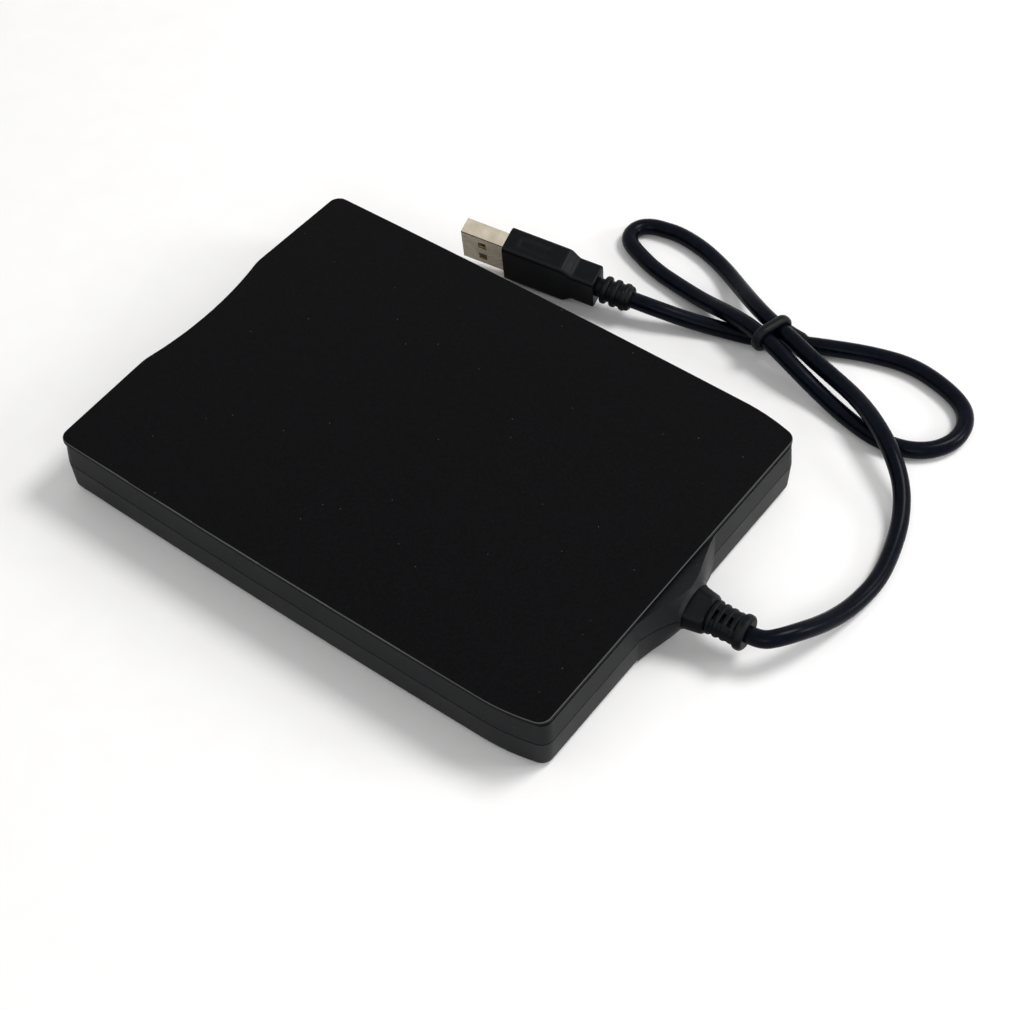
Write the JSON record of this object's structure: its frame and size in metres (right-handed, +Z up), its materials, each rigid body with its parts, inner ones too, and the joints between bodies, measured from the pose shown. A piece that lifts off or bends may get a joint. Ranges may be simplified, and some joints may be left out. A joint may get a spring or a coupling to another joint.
{
  "type": "external floppy disk drive",
  "caption": "Flat rounded box that reads and writes 3.5 inch diskettes through a front slot, with a captive USB lead and plug.",
  "frame": {"origin": "middle of the case seen from above, on the surface that the feet stand on", "axes": "+Z up out of the top panel, -Y out of the disk slot, +Y out of the rear with the lead, X across the slot"},
  "size_m": [0.1561, 0.1782, 0.0172],
  "materials": {
    "case_black": "fine spark-eroded texture, satin",
    "panel_black": "fine spark-eroded texture, satin",
    "bezel_black": "fine texture",
    "button_black": "smooth satin",
    "lamp_clear": "clear tinted",
    "foot_rubber": "matte",
    "screw_steel": "black zinc",
    "frame_steel": "zinc plated sheet",
    "spring_steel": "bright drawn wire",
    "die_cast": "as cast",
    "board_green": "solder mask",
    "chip_black": "moulded epoxy",
    "coil_copper": "enamelled winding",
    "core_steel": "laminations",
    "magnet_black": "bonded ferrite",
    "head_ceramic": "lapped",
    "bronze": "sintered",
    "switch_white": "moulded nylon",
    "carriage_black": "filled resin",
    "lead_black": "soft PVC",
    "tie_black": "paper-backed wire",
    "nickel": "nickel plated",
    "tongue_white": "moulded",
    "gold": "gold flash",
    "ribbon_blue": "polyester film",
    "wire_grey": "wire insulation"
  },
  "bodies": {
    "case": {"board_screws": "screw_steel", "bottom_shell": "case_black", "bridge_board": "board_green", "bridge_chips": "chip_black", "cable_wires": "wire_grey", "case_screws": "screw_steel", "chassis": "frame_steel", "density_switch": "switch_white", "disk_in_switch": "switch_white", "feet": "foot_rubber", "frame_screws": "screw_steel", "front_bezel": "bezel_black", "guide_rods": "spring_steel", "lamp": "lamp_clear", "lamp_lens": "lamp_clear", "lead_cord": "lead_black", "lead_tie": "tie_black", "logic_board": "board_green", "logic_chips": "chip_black", "motor_board": "board_green", "motor_screws": "screw_steel", "plug_contacts": "gold", "plug_grip": "lead_black", "plug_relief": "lead_black", "plug_shell": "nickel", "plug_tongue": "tongue_white", "ribbon_cable": "ribbon_blue", "screw_bracket": "frame_steel", "spindle_bearing": "bronze", "stator_coils": "coil_copper", "stator_core": "core_steel", "stepper_motor": "core_steel", "strain_relief": "lead_black", "switch_boards": "board_green", "top_panel": "panel_black", "top_shield": "frame_steel", "upper_shell": "case_black", "write_guard_switch": "switch_white"},
    "door": {"dust_door": "bezel_black", "door_spring": "spring_steel"},
    "ejector": {"eject_button": "button_black", "eject_slider": "frame_steel", "eject_springs": "spring_steel"},
    "holder": {"disk_holder": "frame_steel", "holder_pins": "spring_steel"},
    "lever": {"shutter_lever": "frame_steel"},
    "spindle": {"rotor_cup": "frame_steel", "rotor_magnet": "magnet_black", "hub_table": "die_cast", "spindle_shaft": "spring_steel"},
    "drive_pin_body": {"drive_pin": "spring_steel"},
    "carriage": {"head_carriage": "die_cast", "lower_head": "head_ceramic", "arm_pin": "spring_steel"},
    "upper_arm": {"head_arm": "frame_steel", "upper_head": "head_ceramic"},
    "screw": {"lead_screw": "spring_steel"},
    "guard_stem": {"write_guard_plunger": "carriage_black"},
    "density_stem": {"density_plunger": "carriage_black"},
    "disk_in_stem": {"disk_in_plunger": "carriage_black"}
  },
  "joints": [
    {"name": "door_hinge", "type": "hinge", "parent": "case", "child": "door", "pos_m": [0, -0.0649, 0.0139], "axis": [1, 0, 0], "range_deg": [0, 80], "stiffness_Nm_per_rad": 0.0004, "springref_deg": -20.05},
    {"name": "eject_slide", "type": "slide", "parent": "case", "child": "ejector", "axis": [0, -1, 0], "range_m": [0, 0.004]},
    {"name": "holder_drop", "type": "slide", "parent": "case", "child": "holder", "axis": [0, 0, -1], "range_m": [0, 0.0022]},
    {"name": "shutter_swing", "type": "hinge", "parent": "holder", "child": "lever", "pos_m": [-0.038, 0.015, 0.01455], "axis": [0, 0, 1], "range_deg": [0, 56], "stiffness_Nm_per_rad": 0.0002, "springref_deg": -28.65},
    {"name": "spindle_turn", "type": "hinge", "parent": "case", "child": "spindle", "pos_m": [0, -0.021, 0.006], "axis": [0, 0, 1], "continuous": true},
    {"name": "drive_pin_press", "type": "slide", "parent": "spindle", "child": "drive_pin_body", "axis": [0, 0, -1], "range_m": [0, 0.0007], "stiffness_N_per_m": 150, "springref_m": -0.001},
    {"name": "head_slide", "type": "slide", "parent": "case", "child": "carriage", "axis": [0, -1, 0], "range_m": [0, 0.0148]},
    {"name": "screw_turn", "type": "hinge", "parent": "case", "child": "screw", "pos_m": [0.02, 0.037, 0.0086], "axis": [0, 1, 0], "range_deg": [0, 1420.81]},
    {"name": "arm_lift", "type": "hinge", "parent": "carriage", "child": "upper_arm", "pos_m": [0, 0.042, 0.01395], "axis": [1, 0, 0], "range_deg": [0, 8.7]},
    {"name": "guard_press", "type": "slide", "parent": "case", "child": "guard_stem", "axis": [0, 0, -1], "range_m": [0, 0.0012], "stiffness_N_per_m": 120, "springref_m": -0.001},
    {"name": "density_press", "type": "slide", "parent": "case", "child": "density_stem", "axis": [0, 0, -1], "range_m": [0, 0.0012], "stiffness_N_per_m": 120, "springref_m": -0.001},
    {"name": "disk_in_press", "type": "slide", "parent": "case", "child": "disk_in_stem", "axis": [0, 0, -1], "range_m": [0, 0.0012], "stiffness_N_per_m": 120, "springref_m": -0.001}
  ],
  "couplings": [
    {"joint": "holder_drop", "follows": "eject_slide", "ratio": 0.55},
    {"joint": "arm_lift", "follows": "eject_slide", "rad_per_m": 37.96},
    {"joint": "screw_turn", "follows": "head_slide", "rad_per_m": 1675.5}
  ]
}
